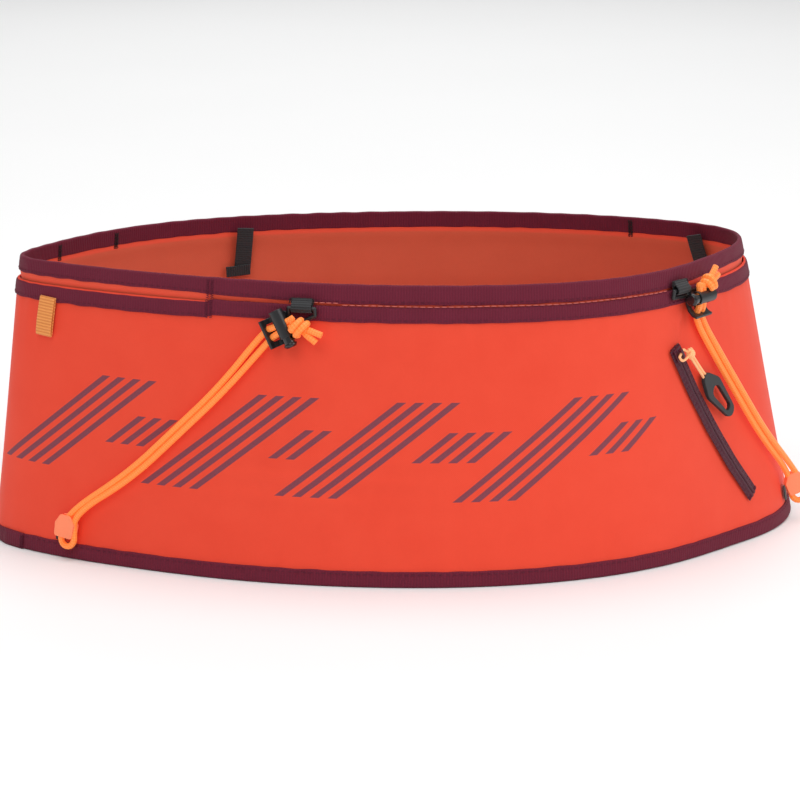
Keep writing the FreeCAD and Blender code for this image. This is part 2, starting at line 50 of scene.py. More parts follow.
# the belt's wall: the rim's line, and how far the hem stands outside it at each of its points
beltWall = {
    "rim": [(-172, 5), (-158, -14), (-125, -38), (-82, -62), (-36, -80), (13, -90), (62, -89),
            (101, -73), (130, -45), (153, -12), (157, 20), (132, 48), (89, 70), (41, 83),
            (-8, 88), (-58, 86), (-101, 75), (-135, 54), (-160, 28)],
    "flare": [15, 15, 16, 17, 16, 14, 11, 12, 18, 25, 28, 24, 19, 16, 15, 15, 15, 15, 15],
    "height": 130.0,
}


class ClosedLine:
    # a smooth closed curve through points, with u from 0 to 1 once round
    def __init__(self, marks, points):
        self.marks = marks
        self.points = np.vstack([points, points[:1]])
        steps = np.diff(marks)
        count = len(steps)
        rows = np.zeros((count, count))
        slopes = np.diff(self.points, axis=0) / steps[:, None]
        right = np.zeros((count, 2))
        for i in range(count):
            rows[i, i - 1] += steps[i - 1]
            rows[i, i] += 2 * (steps[i - 1] + steps[i])
            rows[i, (i + 1) % count] += steps[i]
            right[i] = 6 * (slopes[i] - slopes[i - 1])
        bends = np.linalg.solve(rows, right)
        self.bends = np.vstack([bends, bends[:1]])

    def at(self, u):
        u = np.mod(u, 1.0)
        i = np.clip(np.searchsorted(self.marks, u, side="right") - 1, 0, len(self.marks) - 2)
        step = (self.marks[i + 1] - self.marks[i])[..., None]
        a = (self.marks[i + 1] - u)[..., None] / step
        b = 1 - a
        low, high = self.points[i], self.points[i + 1]
        lowBend, highBend = self.bends[i], self.bends[i + 1]
        place = a * low + b * high + ((a ** 3 - a) * lowBend + (b ** 3 - b) * highBend) * step ** 2 / 6
        way = (high - low) / step + ((1 - 3 * a ** 2) * lowBend + (3 * b ** 2 - 1) * highBend) * step / 6
        return place, way


def outwardOf(way):
    side = np.stack([way[..., 1], -way[..., 0]], -1)
    return side / np.linalg.norm(side, axis=-1, keepdims=True)


def wallLines():
    rim = np.array(beltWall["rim"], float)
    steps = np.sqrt(np.linalg.norm(np.roll(rim, -1, 0) - rim, axis=1))
    marks = np.concatenate([[0], np.cumsum(steps)]) / steps.sum()
    marks[-1] = 1.0
    rimLine = ClosedLine(marks, rim)
    way = rimLine.at(marks[:-1])[1]
    hem = rim + outwardOf(way) * np.array(beltWall["flare"], float)[:, None]
    return rimLine, ClosedLine(marks, hem)


rimLine, hemLine = wallLines()


def wallPoints(u, z, lift=0.0):
    # points on the wall, for numbers or arrays of them
    u, z, lift = np.broadcast_arrays(np.asarray(u, float), z, lift)
    share = (z / beltWall["height"])[..., None]
    high, highWay = rimLine.at(u)
    low, lowWay = hemLine.at(u)
    flat = low * (1 - share) + high * share
    flat = flat + outwardOf(lowWay * (1 - share) + highWay * share) * lift[..., None]
    return np.concatenate([flat, z[..., None]], -1)


def wallPoint(u, z, lift=0.0):
    return Vector(wallPoints(u, z, lift))


def wallAxes(u, z):
    along = (wallPoint(u + 0.0005, z) - wallPoint(u - 0.0005, z)).normalized()
    up = (wallPoint(u, z + 1) - wallPoint(u, z - 1)).normalized()
    out = along.cross(up).normalized()
    return along, out.cross(along), out


def axesMatrix(origin, xWay, yWay, zWay):
    turn = Matrix((xWay, yWay, zWay)).transposed().to_4x4()
    turn.translation = origin
    return turn


def wallPlace(u, z, lift=0.0, turn=0.0):
    along, up, out = wallAxes(u, z)
    return axesMatrix(wallPoint(u, z, lift), along, up, out) @ Matrix.Rotation(math.radians(turn), 4, "Z")


# how far round the belt each u is, in mm, measured half way up
roundMarks = np.linspace(0, 1, 2001)
roundSteps = np.linalg.norm(np.diff(wallPoints(roundMarks, 65.0), axis=0), axis=1)
roundLengths = np.concatenate([[0], np.cumsum(roundSteps)])
girth = roundLengths[-1]


def roundAt(u):
    return np.interp(u, roundMarks, roundLengths)


def uAt(length):
    return np.interp(np.mod(length, girth), roundLengths, roundMarks)


# shader expressions

class Wire:
    # one socket of a material's nodes; sums and products of wires add Math nodes
    def __init__(self, finish, socket):
        self.finish = finish
        self.socket = socket

    def maths(self, operation, *values):
        return self.finish.node("ShaderNodeMath", {"operation": operation}, values)

    def __add__(self, other):
        return self.maths("ADD", self, other)

    def __radd__(self, other):
        return self.maths("ADD", other, self)

    def __sub__(self, other):
        return self.maths("SUBTRACT", self, other)

    def __rsub__(self, other):
        return self.maths("SUBTRACT", other, self)

    def __mul__(self, other):
        return self.maths("MULTIPLY", self, other)

    def __rmul__(self, other):
        return self.maths("MULTIPLY", other, self)

    def __truediv__(self, other):
        return self.maths("DIVIDE", self, other)

    def __gt__(self, other):
        return self.maths("GREATER_THAN", self, other)

    def __lt__(self, other):
        return self.maths("LESS_THAN", self, other)

    def wave(self):
        return self.maths("SINE", self)

    def part(self):
        return self.maths("FRACT", self)

    def size(self):
        return self.maths("ABSOLUTE", self)

    def larger(self, other):
        return self.maths("MAXIMUM", self, other)

    def smaller(self, other):
        return self.maths("MINIMUM", self, other)


class Finish:
    # a material on one Principled shader; flat values go straight on its sockets
    def __init__(self, name, **flat):
        self.material = bpy.data.materials.new(name)
        self.material.use_nodes = True
        self.tree = self.material.node_tree
        self.shader = self.tree.nodes["Principled BSDF"]
        for socket, value in flat.items():
            self.shader.inputs[socket.replace("_", " ")].default_value = value

    def node(self, kind, settings=None, inputs=(), output=0):
        made = self.tree.nodes.new(kind)
        for key, value in (settings or {}).items():
            setattr(made, key, value)
        pairs = inputs.items() if isinstance(inputs, dict) else enumerate(inputs)
        for socket, value in pairs:
            if isinstance(value, Wire):
                self.tree.links.new(value.socket, made.inputs[socket])
            else:
                made.inputs[socket].default_value = value
        return Wire(self, made.outputs[output])

    def feed(self, **wires):
        for socket, wire in wires.items():
            self.tree.links.new(wire.socket, self.shader.inputs[socket.replace("_", " ")])

    def uv(self):
        # how far along and across the piece, in mm
        place = self.node("ShaderNodeTexCoord", output=2)
        wide = self.node("ShaderNodeVectorMath", {"operation": "SCALE"}, {0: place, "Scale": 1000.0})
        along = self.node("ShaderNodeSeparateXYZ", None, [wide])
        return along, Wire(self, along.socket.node.outputs[1])

    def noise(self, scale, detail=2.0, rough=0.5):
        # noise in the object's own space, with scale in lumps a metre
        place = self.node("ShaderNodeTexCoord", output=3)
        return self.node("ShaderNodeTexNoise", None,
                         {"Vector": place, "Scale": scale, "Detail": detail, "Roughness": rough})

    def blend(self, factor, first, second):
        return self.node("ShaderNodeMix", {"data_type": "RGBA"}, {0: factor, 6: first, 7: second}, 2)

    def bump(self, height, distance, strength=1.0):
        bumped = self.node("ShaderNodeBump", None,
                           {"Height": height, "Distance": distance * mm, "Strength": strength})
        self.feed(Normal=bumped)


def rgb(red, green, blue):
    # a colour as seen on a screen, 0 to 255, turned to the renderer's own numbers
    shares = [part / 255 for part in (red, green, blue)]
    return tuple(s / 12.92 if s < 0.04045 else ((s + 0.055) / 1.055) ** 2.4 for s in shares) + (1.0,)


def smoothStep(wire, low, high):
    # 0 below low, 1 above high
    share = ((wire - low) / (high - low)).larger(0.0).smaller(1.0)
    return share * share * (3 - 2 * share)


# slanted stripes on the shell: each group's first bar, how many it has, and the heights it spans
stripePrint = {
    "lean": 1.26,
    "pitch": 7.8,
    "width": 0.50,
    "groups": [(-6, 4, 40, 83), (-1, 4, 54, 67), (4, 4, 38, 81), (9, 2, 54, 67), (12, 4, 38, 80),
               (17, 4, 54, 67), (22, 4, 37, 80), (27, 3, 54, 67)],
    "colour": rgb(112, 52, 70),
}


def stripeMask(along, up):
    # stripes in groups side by side, each cut level at its top and foot
    slid = along - up * stripePrint["lean"]
    bars = ((slid / stripePrint["pitch"]).part() - 0.5).size()
    bar = 1 - smoothStep(bars, stripePrint["width"] / 2 - 0.03, stripePrint["width"] / 2 + 0.03)
    total = None
    for start, count, foot, top in stripePrint["groups"]:
        low = start * stripePrint["pitch"]
        high = low + count * stripePrint["pitch"]
        inside = (slid > low) * (slid < high)
        level = (up > foot) * (up < top)
        share = inside * level
        total = share if total is None else total.larger(share)
    return bar * total


knitPitch = 0.9


def knitHeight(along, up, pitch):
    # rows of small loops
    row = (up * (2 * math.pi / pitch)).wave()
    wale = (along * (2 * math.pi / pitch)).wave()
    return row * wale


def shellFinish():
    finish = Finish("shellFabric", Roughness=0.66, Sheen_Weight=0.05, Sheen_Roughness=0.5,
                    Specular_IOR_Level=0.35)
    along, up = finish.uv()
    mottle = finish.noise(60.0, 3.0)
    fine = finish.noise(1400.0, 2.0)
    base = finish.blend(mottle, rgb(240, 68, 40), rgb(248, 78, 50))
    base = finish.blend(0.10 * fine, base, rgb(206, 52, 30))
    ink = finish.blend(fine, stripePrint["colour"], rgb(134, 72, 84))
    mask = stripeMask(along, up) * (0.94 + 0.06 * fine)
    finish.feed(Base_Color=finish.blend(mask, base, ink))
    finish.bump(0.55 * knitHeight(along, up, knitPitch) + 0.6 * fine + 0.25 * mask, 0.05, 0.5)
    return finish.material


def innerFinish():
    finish = Finish("innerFabric", Roughness=0.75, Sheen_Weight=0.1)
    along, up = finish.uv()
    mottle = finish.noise(50.0, 3.0)
    fine = finish.noise(1400.0, 2.0)
    base = finish.blend(mottle, rgb(214, 88, 56), rgb(224, 96, 64))
    upper = smoothStep(up, 119.5, 121.0)
    base = finish.blend(upper, base, rgb(246, 84, 54))
    finish.feed(Base_Color=finish.blend(0.12 * fine, base, rgb(170, 52, 34)))
    finish.bump(0.6 * knitHeight(along, up, knitPitch) + 0.6 * fine, 0.05, 0.5)
    return finish.material


def bindingFinish():
    finish = Finish("elasticBinding", Roughness=0.78, Sheen_Weight=0.04, Specular_IOR_Level=0.25)
    along, up = finish.uv()
    ribs = (along * (2 * math.pi / 1.25)).wave()
    fine = finish.noise(1800.0, 2.0)
    rows = (up * (2 * math.pi / 0.8)).wave()
    patches = finish.noise(90.0, 2.0)
    base = finish.blend(patches, rgb(103, 20, 42), rgb(115, 26, 50))
    base = finish.blend(0.30 * (0.5 + 0.5 * ribs), base, rgb(70, 16, 36))
    finish.feed(Base_Color=finish.blend(0.35 * fine, base, rgb(122, 44, 66)))
    finish.bump(0.7 * ribs + 0.2 * rows + 0.5 * fine, 0.10, 0.8)
    return finish.material


def threadFinish(name, colour, light):
    finish = Finish(name, Roughness=0.6, Specular_IOR_Level=0.2)
    fine = finish.noise(2600.0, 2.0)
    finish.feed(Base_Color=finish.blend(fine, colour, light))
    finish.bump(fine, 0.06, 0.7)
    return finish.material


def webbingFinish(name, colour, dark, ribPitch):
    # cross ribs with a fine twill between; the hollows between the ribs are coloured darker, painted shade
    finish = Finish(name, Roughness=0.7, Sheen_Weight=0.15)
    along, up = finish.uv()
    ribs = (up * (2 * math.pi / ribPitch)).wave()
    yarns = (along * (2 * math.pi / 0.7)).wave()
    fine = finish.noise(1600.0, 2.0)
    # dark where the ribs dip: painted shade in the hollows
    base = finish.blend(0.5 - 0.5 * ribs, colour, dark)
    finish.feed(Base_Color=finish.blend(0.25 * fine, base, dark))
    finish.bump(0.8 * ribs + 0.25 * yarns + 0.3 * fine, 0.12, 0.8)
    return finish.material


def tapeFinish():
    # herringbone: slanted yarns that turn back every 1.5 mm
    finish = Finish("zipTape", Roughness=0.75, Sheen_Weight=0.1)
    across, along = finish.uv()
    fold = ((across / 1.5).part() - 0.5).size() * 3.0
    yarns = ((along + fold) * (2 * math.pi / 0.62)).wave()
    fine = finish.noise(1800.0, 2.0)
    # lighter on the raised yarns and darker between them: painted highlight and painted shade
    base = finish.blend(0.5 + 0.5 * yarns, rgb(70, 17, 36), rgb(98, 30, 54))
    finish.feed(Base_Color=finish.blend(0.3 * fine, base, rgb(54, 12, 28)))
    finish.bump(0.8 * yarns + 0.3 * fine, 0.08, 0.8)
    return finish.material


def plainFinish(name, colour, second, roughness, grain, depth, lumps=900.0, **flat):
    # moulded or metal: a slight change of tone and a fine skin
    finish = Finish(name, **flat)
    patches = finish.noise(120.0, 3.0)
    fine = finish.noise(lumps, 3.0, rough=0.6)
    finish.feed(Base_Color=finish.blend(0.6 * patches + 0.4 * fine, colour, second))
    finish.feed(Roughness=roughness + grain * (fine - 0.5))
    finish.bump(fine, depth, 0.6)
    return finish.material


def braidFinish(name, colour, light, dark, pitch, radius):
    # two sets of yarns crossing round the cord, each pair of picks standing proud in turn; the proud picks
    # are painted paler as a highlight and the hollows darker as shade, and the cord glows through a faint
    # emission, painted light
    # the emission strength makes the cord glow faintly, painted light
    finish = Finish(name, Roughness=0.42, Sheen_Weight=0.12, Sheen_Roughness=0.4, Emission_Strength=0.22)
    along, turn = finish.uv()
    girthShare = turn / (2 * math.pi * radius)
    strands = 8
    left = ((along / pitch + girthShare * strands) * math.pi).wave()
    right = ((along / pitch - girthShare * strands) * math.pi).wave()
    weave = left * right
    fine = finish.noise(2400.0, 2.0)
    # paler where the picks stand proud: painted highlight, with painted shade in the hollows
    base = finish.blend(0.5 + 0.5 * weave, colour, light)
    base = finish.blend(0.35 * fine, base, dark)
    finish.feed(Base_Color=base, Emission_Color=base)
    finish.bump(0.7 * weave + 0.3 * fine, 0.14, 0.8)
    return finish.material


finishes = {
    "shell": shellFinish(),
    "inner": innerFinish(),
    "binding": bindingFinish(),
    "thread": threadFinish("bindingThread", rgb(86, 22, 42), rgb(106, 36, 58)),
    "paleThread": threadFinish("shellThread", rgb(206, 100, 96), rgb(232, 128, 112)),
    "darkThread": threadFinish("blackThread", rgb(26, 22, 24), rgb(52, 46, 48)),
    # each webbing's dark colour is painted shade in the hollows between its ribs, and also its random darker
    # flecks
    "orangeWebbing": webbingFinish("orangeWebbing", rgb(253, 168, 86), rgb(226, 132, 58), 1.3),
    "blackWebbing": webbingFinish("blackWebbing", rgb(40, 41, 44), rgb(20, 20, 22), 1.1),
    "tape": tapeFinish(),
    "coil": plainFinish("zipCoil", rgb(58, 14, 30), rgb(72, 20, 38), 0.4, 0.1, 0.02),
    "enamel": plainFinish("zipEnamel", rgb(70, 20, 38), rgb(86, 28, 48), 0.35, 0.1, 0.02),
    "lining": threadFinish("pocketLining", rgb(176, 62, 44), rgb(192, 78, 58)),
    # each braid's second colour is a painted highlight on its proud picks, and each braid glows faintly,
    # painted light
    "thinCord": braidFinish("thinBraid", rgb(255, 176, 112), rgb(255, 206, 156), rgb(248, 138, 72), 0.7, 0.6),
    "cord": braidFinish("elasticBraid", rgb(255, 132, 44), rgb(255, 160, 80), rgb(250, 92, 16), 1.15, 1.4),
    "rubber": plainFinish("pullerRubber", rgb(40, 40, 42), rgb(50, 50, 52), 0.52, 0.12, 0.03),
    "lock": plainFinish("lockPlastic", rgb(26, 26, 28), rgb(34, 34, 37), 0.36, 0.12, 0.02),
    "button": plainFinish("buttonPlastic", rgb(20, 20, 22), rgb(27, 27, 30), 0.2, 0.06, 0.008,
                          Coat_Weight=0.3, Coat_Roughness=0.15),
    "spring": plainFinish("springSteel", rgb(168, 168, 172), rgb(186, 186, 190), 0.3, 0.1, 0.01,
                          Metallic=1.0),
    # the hook plastic glows faintly through its emission, painted light
    "hook": plainFinish("hookPlastic", rgb(252, 128, 84), rgb(255, 146, 104), 0.38, 0.1, 0.02,
                        Emission_Color=rgb(255, 130, 84), Emission_Strength=0.14),
}
print("finishes made,", len(finishes))


# mesh helpers

def addPiece(name, points, faces, finish, body, corners=None):
    # points in mm; corners is the texture place of each face corner, in mm
    mesh = bpy.data.meshes.new(name)
    mesh.from_pydata((np.asarray(points, float) * mm).tolist(), [], faces)
    if corners is not None:
        layer = mesh.uv_layers.new(name="wall")
        layer.data.foreach_set("uv", (np.asarray(corners, float) * mm).ravel())
    work = bmesh.new()
    work.from_mesh(mesh)
    bmesh.ops.recalc_face_normals(work, faces=work.faces)
    work.to_mesh(mesh)
    work.free()
    mesh.polygons.foreach_set("use_smooth", [True] * len(mesh.polygons))
    piece = bpy.data.objects.new(name, mesh)
    bpy.context.collection.objects.link(piece)
    mesh.materials.append(finishes[finish])
    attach(piece, body)
    return piece


def gridFaces(rows, cols, wrapRows, wrapCols):
    r, c = np.meshgrid(np.arange(rows if wrapRows else rows - 1),
                       np.arange(cols if wrapCols else cols - 1), indexing="ij")
    rings = [(r, c), (r, c + 1), (r + 1, c + 1), (r + 1, c)]
    faces = np.stack([(a % rows) * cols + b % cols for a, b in rings], -1).reshape(-1, 4)
    return faces, [(a.ravel(), b.ravel()) for a, b in rings]


def addGrid(name, grid, rowMarks, colMarks, finish, body, wrapRows=False, wrapCols=False, endCaps=False):
    # a sheet of points; the marks are its texture places, one more than the points where it wraps
    rows, cols = grid.shape[:2]
    faces, rings = gridFaces(rows, cols, wrapRows, wrapCols)
    corners = np.stack([np.stack([colMarks[b], rowMarks[a]], -1) for a, b in rings], 1).reshape(-1, 2)
    faceList = faces.tolist()
    if endCaps:  # rows go round a section, and the two end columns are closed
        for col in (0, cols - 1):
            faceList.append([row * cols + col for row in range(rows)])
            corners = np.vstack([corners, np.stack([np.full(rows, colMarks[col]), rowMarks[:rows]], -1)])
    return addPiece(name, grid.reshape(-1, 3), faceList, finish, body, corners)


def ripple(seed, count, low, high):
    # a smooth irregular wave along a length: a few sines of seeded pitch and phase
    chance = np.random.default_rng(seed)
    pitches = chance.uniform(low, high, count)
    phases = chance.uniform(0, 2 * math.pi, count)
    sizes = chance.uniform(0.5, 1.0, count)

    def wave(length, shift=0.0):
        # whole waves round the belt, so that it closes
        turns = np.round(girth / pitches)
        total = 0
        for turn, phase, size in zip(turns, phases, sizes):
            total = total + size * np.sin(2 * math.pi * turn * (length + shift) / girth + phase)
        return total / math.sqrt(count)
    return wave


def tubeGrid(points, radius, sides, profile=None):
    # rings round a line; profile changes the radius by ring and side
    points = np.asarray(points, float)
    ways = np.gradient(points, axis=0)
    ways /= np.linalg.norm(ways, axis=1)[:, None]
    lengths = np.concatenate([[0], np.cumsum(np.linalg.norm(np.diff(points, axis=0), axis=1))])
    across = np.cross(ways[0], [0.3, 0.2, 1.0])
    rings = []
    for way in ways:
        across = across - way * np.dot(across, way)
        across = across / np.linalg.norm(across)
        rings.append((across, np.cross(way, across)))
    angles = np.linspace(0, 2 * math.pi, sides, endpoint=False)
    radii = np.full((len(points), sides), float(radius))
    if profile is not None:
        radii = profile(lengths[:, None], angles[None, :]) * np.ones_like(radii)
    grid = np.empty((sides, len(points), 3))
    for k, (first, second) in enumerate(rings):
        spokes = np.cos(angles)[:, None] * first + np.sin(angles)[:, None] * second
        grid[:, k] = points[k] + spokes * radii[k][:, None]
    return grid, angles, lengths


def addTube(name, points, radius, finish, body, sides=14, profile=None):
    grid, angles, lengths = tubeGrid(points, radius, sides, profile)
    girthMarks = np.append(angles, 2 * math.pi) * radius
    return addGrid(name, grid, girthMarks, lengths, finish, body, wrapRows=True, endCaps=True)


def throughPoints(points, steps):
    # a smooth line through given points
    points = [np.array(p, float) for p in points]
    padded = [2 * points[0] - points[1]] + points + [2 * points[-1] - points[-2]]
    line = []
    for a, b, c, d in zip(padded, padded[1:], padded[2:], padded[3:]):
        for t in np.arange(steps) / steps:
            line.append(0.5 * (2 * b + (c - a) * t + (2 * a - 5 * b + 4 * c - d) * t ** 2
                               + (3 * b - a - 3 * c + d) * t ** 3))
    line.append(points[-1])
    return np.array(line)


def moulded(name, node, voxel, rounds, finish, body):
    # the CAD part with its edges softened as a moulding's are
    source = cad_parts[node]
    piece = bpy.data.objects.new(name, source.data.copy())
    bpy.context.collection.objects.link(piece)
    remesh = piece.modifiers.new("skin", "REMESH")
    remesh.mode = "VOXEL"
    remesh.voxel_size = voxel * mm
    soften = piece.modifiers.new("soften", "SMOOTH")
    soften.factor = 0.5
    soften.iterations = rounds
    depsgraph = bpy.context.evaluated_depsgraph_get()
    mesh = bpy.data.meshes.new_from_object(piece.evaluated_get(depsgraph))
    piece.modifiers.clear()
    piece.data = mesh
    mesh.materials.clear()
    mesh.materials.append(finishes[finish])
    mesh.polygons.foreach_set("use_smooth", [True] * len(mesh.polygons))
    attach(piece, body)
    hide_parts(node)
    return piece


def stitches(name, places, length, radius, finish, body):
    # short threads, each sunk at its ends; places are (middle, way, out)
    points, faces = [], []
    for middle, way, out in places:
        side = np.cross(way, out)
        first = len(points)
        for along, size, rise in ((-0.5, 0.35, -0.6), (-0.3, 0.9, 0.35), (0.0, 1.0, 0.6), (0.3, 0.9, 0.35),
                                  (0.5, 0.35, -0.6)):
            for k in range(6):
                turn = k * math.pi / 3
                spoke = (side * math.cos(turn) + out * math.sin(turn)) * radius * size
                points.append(middle + way * along * length + out * rise * radius + spoke)
        for ring in range(4):
            for k in range(6):
                a = first + ring * 6 + k
                b = first + ring * 6 + (k + 1) % 6
                faces.append([a, b, b + 6, a + 6])
        faces.append([first + k for k in range(6)])
        faces.append([first + 24 + k for k in range(6)])
    return addPiece(name, points, faces, finish, body)


def seamPlaces(fromLength, toLength, pitch, height, lift, lean=0.0):
    # stitches along the wall; height and lift may change with the length round
    places = []
    for length in np.arange(fromLength, toLength, pitch):
        u = float(uAt(length))
        z = float(height(length) if callable(height) else height)
        along, up, out = wallAxes(u, z)
        way = (along + up * lean).normalized()
        off = float(lift(length) if callable(lift) else lift)
        places.append((np.array(wallPoint(u, z, off)), np.array(way), np.array(out)))
    return places


def turnTexture(piece):
    # swaps the texture's two ways, so that it runs along a strip
    layer = piece.data.uv_layers[0].data
    places = np.empty(len(layer) * 2)
    layer.foreach_get("uv", places)
    layer.foreach_set("uv", places.reshape(-1, 2)[:, ::-1].ravel())


def addRibbon(name, place, path, width, thick, finish, body, ribs=0.0, ribPitch=1.0, step=0.3, narrow=0.0):
    # webbing laid along a path in a place's own frame, its width along that frame's X
    line = throughPoints(path, 12)
    lengths = np.concatenate([[0], np.cumsum(np.linalg.norm(np.diff(line, axis=0), axis=1))])
    marks = np.linspace(0, lengths[-1], max(8, int(lengths[-1] / step)))
    line = np.stack([np.interp(marks, lengths, line[:, k]) for k in range(3)], -1)
    ways = np.gradient(line, axis=0)
    ways /= np.linalg.norm(ways, axis=1)[:, None]
    sideways = np.array([1.0, 0, 0]) - ways * ways[:, :1]
    sideways /= np.linalg.norm(sideways, axis=1)[:, None]
    faceWays = np.cross(sideways, ways)
    turns = np.linspace(0, 2 * math.pi, 20, endpoint=False)
    wide = np.sign(np.cos(turns)) * np.abs(np.cos(turns)) ** 0.25 * width / 2
    deep = np.sign(np.sin(turns)) * np.abs(np.sin(turns)) ** 0.6 * thick / 2
    swell = 1 + ribs * np.cos(2 * math.pi * marks / ribPitch)
    taper = 1 - narrow * marks / marks[-1]
    grid = (line[None] + wide[:, None, None] * taper[None, :, None] * sideways[None]
            + deep[:, None, None] * swell[None, :, None] * faceWays[None])
    flat = grid.reshape(-1, 3)
    turned = np.array([place @ Vector(p) for p in flat]).reshape(grid.shape)
    around = np.append(wide, wide[0])
    piece = addGrid(name, turned, around, marks, finish, body, wrapRows=True, endCaps=True)
    turnTexture(piece)
    return piece


def eased(u, stops):
    # values at stops round the belt, with soft steps between them
    u = np.mod(np.asarray(u, float), 1.0)
    places = np.array([s[0] for s in stops] + [1.0 + stops[0][0]])
    values = np.array([s[1] for s in stops] + [stops[0][1]])
    u = np.where(u < places[0], u + 1, u)
    i = np.clip(np.searchsorted(places, u, side="right") - 1, 0, len(places) - 2)
    share = (u - places[i]) / (places[i + 1] - places[i])
    share = share * share * (3 - 2 * share)
    return values[i] * (1 - share) + values[i + 1] * share


# the two fabric panels

shell = {
    "columns": 960, "rows": 84,
    "foot": 0.6, "top": 119.6, "thick": 0.9,
    "broad": 0.55, "fine": 0.10,
}
broadWave = ripple(3, 5, 60, 150)
middleWave = ripple(8, 6, 26, 60)
puckerWave = ripple(5, 6, 7, 12)


def shellLift(u, z):
    # the knit pulls in a little between its seams, and puckers close to them
    length = roundAt(u)
    share = z / beltWall["height"]
    calm = 1 - 0.85 * np.exp(-((u - 0.415) / 0.03) ** 2)
    broad = 0.5 + 0.5 * broadWave(length, 22 * share)
    middle = 0.5 + 0.5 * middleWave(length, -30 * share) * np.sin(math.pi * share)
    held = np.sin(math.pi * np.clip(share / 0.9, 0, 1)) ** 0.7
    creases = np.exp(-((z - 46) / 14) ** 2) * np.exp(-((u - 0.19) / 0.05) ** 2)
    creases = creases * np.sin(z * 2 * math.pi / 9.5 + 9 * (u - 0.19))
    pull = np.exp(-((z - 105) / 9) ** 2) * np.exp(-((u - 0.118) / 0.03) ** 2)
    creases = creases + 0.9 * pull * np.sin((z + 120 * (u - 0.118)) * 2 * math.pi / 11)
    nearSeam = np.exp(-z / 14) + np.exp(-(114 - np.clip(z, 0, 114)) / 12)
    lift = -shell["broad"] * calm * held * (broad + 0.5 * middle) - 0.26 * creases
    lift = lift - shell["fine"] * nearSeam * (1 + puckerWave(length))
    fold = np.exp(-((u - 0.3945 - (z - 104) * 0.0003) / 0.0022) ** 2) * np.exp(-((z - 104) / 9) ** 2)
    return lift - 0.55 * fold


def addShell():
    u = np.arange(shell["columns"]) / shell["columns"]
    up = np.linspace(shell["foot"], shell["top"], shell["rows"])
    down = np.linspace(shell["top"], shell["foot"], 12)
    heights = np.concatenate([up, down])
    behind = np.concatenate([np.zeros(len(up)), np.full(len(down), shell["thick"])])
    uu, zz = np.meshgrid(u, heights)
    lift = shellLift(uu, zz) - behind[:, None]
    marks = np.append(heights, heights[0])
    lengths = roundAt(np.append(u, 1.0))
    piece = addGrid("outerShell", wallPoints(uu, zz, lift), marks, lengths, "shell", "belt",
                    wrapRows=True, wrapCols=True)
    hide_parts("outer_panel")
    return piece


innerWall = {
    "columns": 720, "foot": 0.6, "top": 129.2, "thick": 0.9,
    "depths": [(0.6, 1.2), (8, 1.2), (18, 3.8), (98, 3.8), (114, 1.8), (120, 1.7), (122.6, 0.7),
               (129.4, 0.7)],
    "wave": 0.35,
}


def addInner():
    u = np.arange(innerWall["columns"]) / innerWall["columns"]
    up = np.linspace(innerWall["foot"], innerWall["top"], 66)
    heights = np.concatenate([up, up[::-1]])
    places = [d[0] for d in innerWall["depths"]]
    depths = np.interp(heights, places, [d[1] for d in innerWall["depths"]])
    behind = np.concatenate([np.zeros(len(up)), np.full(len(up), innerWall["thick"])])
    uu, zz = np.meshgrid(u, heights)
    loose = np.clip((112 - zz) / 40, 0, 1) * np.clip(zz / 20, 0, 1)
    wave = innerWall["wave"] * loose * (broadWave(roundAt(uu), 60) + 0.6 * middleWave(roundAt(uu), zz * 0.5))
    lift = -depths[:, None] - behind[:, None] + wave * 0.7
    piece = addGrid("innerShell", wallPoints(uu, zz, lift), np.append(heights, heights[0]),
                    roundAt(np.append(u, 1.0)), "inner", "belt", wrapRows=True, wrapCols=True)
    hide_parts("inner_panel")
    return piece


addShell()
addInner()
print("panels made")


# elastic bindings

bandWave = ripple(11, 7, 12, 34)
edgeWave = ripple(12, 7, 9, 26)
pocketShift = [(0.0, -1.7), (0.108, -1.8), (0.134, -1.5), (0.139, -0.3), (0.40, -0.3), (0.425, -1.2),
               (0.448, -1.9), (0.49, -1.9), (0.53, -0.5), (0.93, -0.5), (0.97, -1.5)]
rimShift = [(0.0, 0.3), (0.12, 0.3), (0.15, -0.4), (0.21, -1.25), (0.385, -1.25), (0.42, -0.2),
            (0.45, 0.3), (0.52, -0.6), (0.93, -0.6)]
bands = {
    "topBinding": {"node": "top_binding", "fold": 130.0, "edge": 122.8, "outer": -0.15, "inner": -2.15,
                   "foldShift": None, "edgeShift": rimShift},
    "pocketBinding": {"node": "pocket_binding", "fold": 121.0, "edge": 114.2, "outer": 0.58, "inner": -1.2,
                      "foldShift": pocketShift, "edgeShift": pocketShift},
    "hemBinding": {"node": "hem_binding", "fold": 0.0, "edge": 7.0, "outer": 0.58, "inner": -2.68,
                   "foldShift": None, "edgeShift": None},
}


def bandSection(outer, inner):
    # half the binding's section from its sewn edge to the fold and back: (share of height, lift, along fold)
    middle, half = (outer + inner) / 2, (outer - inner) / 2
    rows = [(0.0, outer - 0.28, 0), (0.012, outer - 0.08, 0), (0.045, outer + 0.02, 0)]
    rows += [(share, outer + 0.05 * math.sin(math.pi * share), 0) for share in (0.2, 0.36, 0.52, 0.68, 0.84)]
    for step in range(9):
        turn = math.pi * step / 8
        rows.append((1.0, middle + half * math.cos(turn), math.sin(turn) - 1))
    rows += [(share, inner, 0) for share in (0.84, 0.6, 0.36, 0.12, 0.03)]
    rows += [(0.0, inner + 0.25, 0)]
    return rows, half


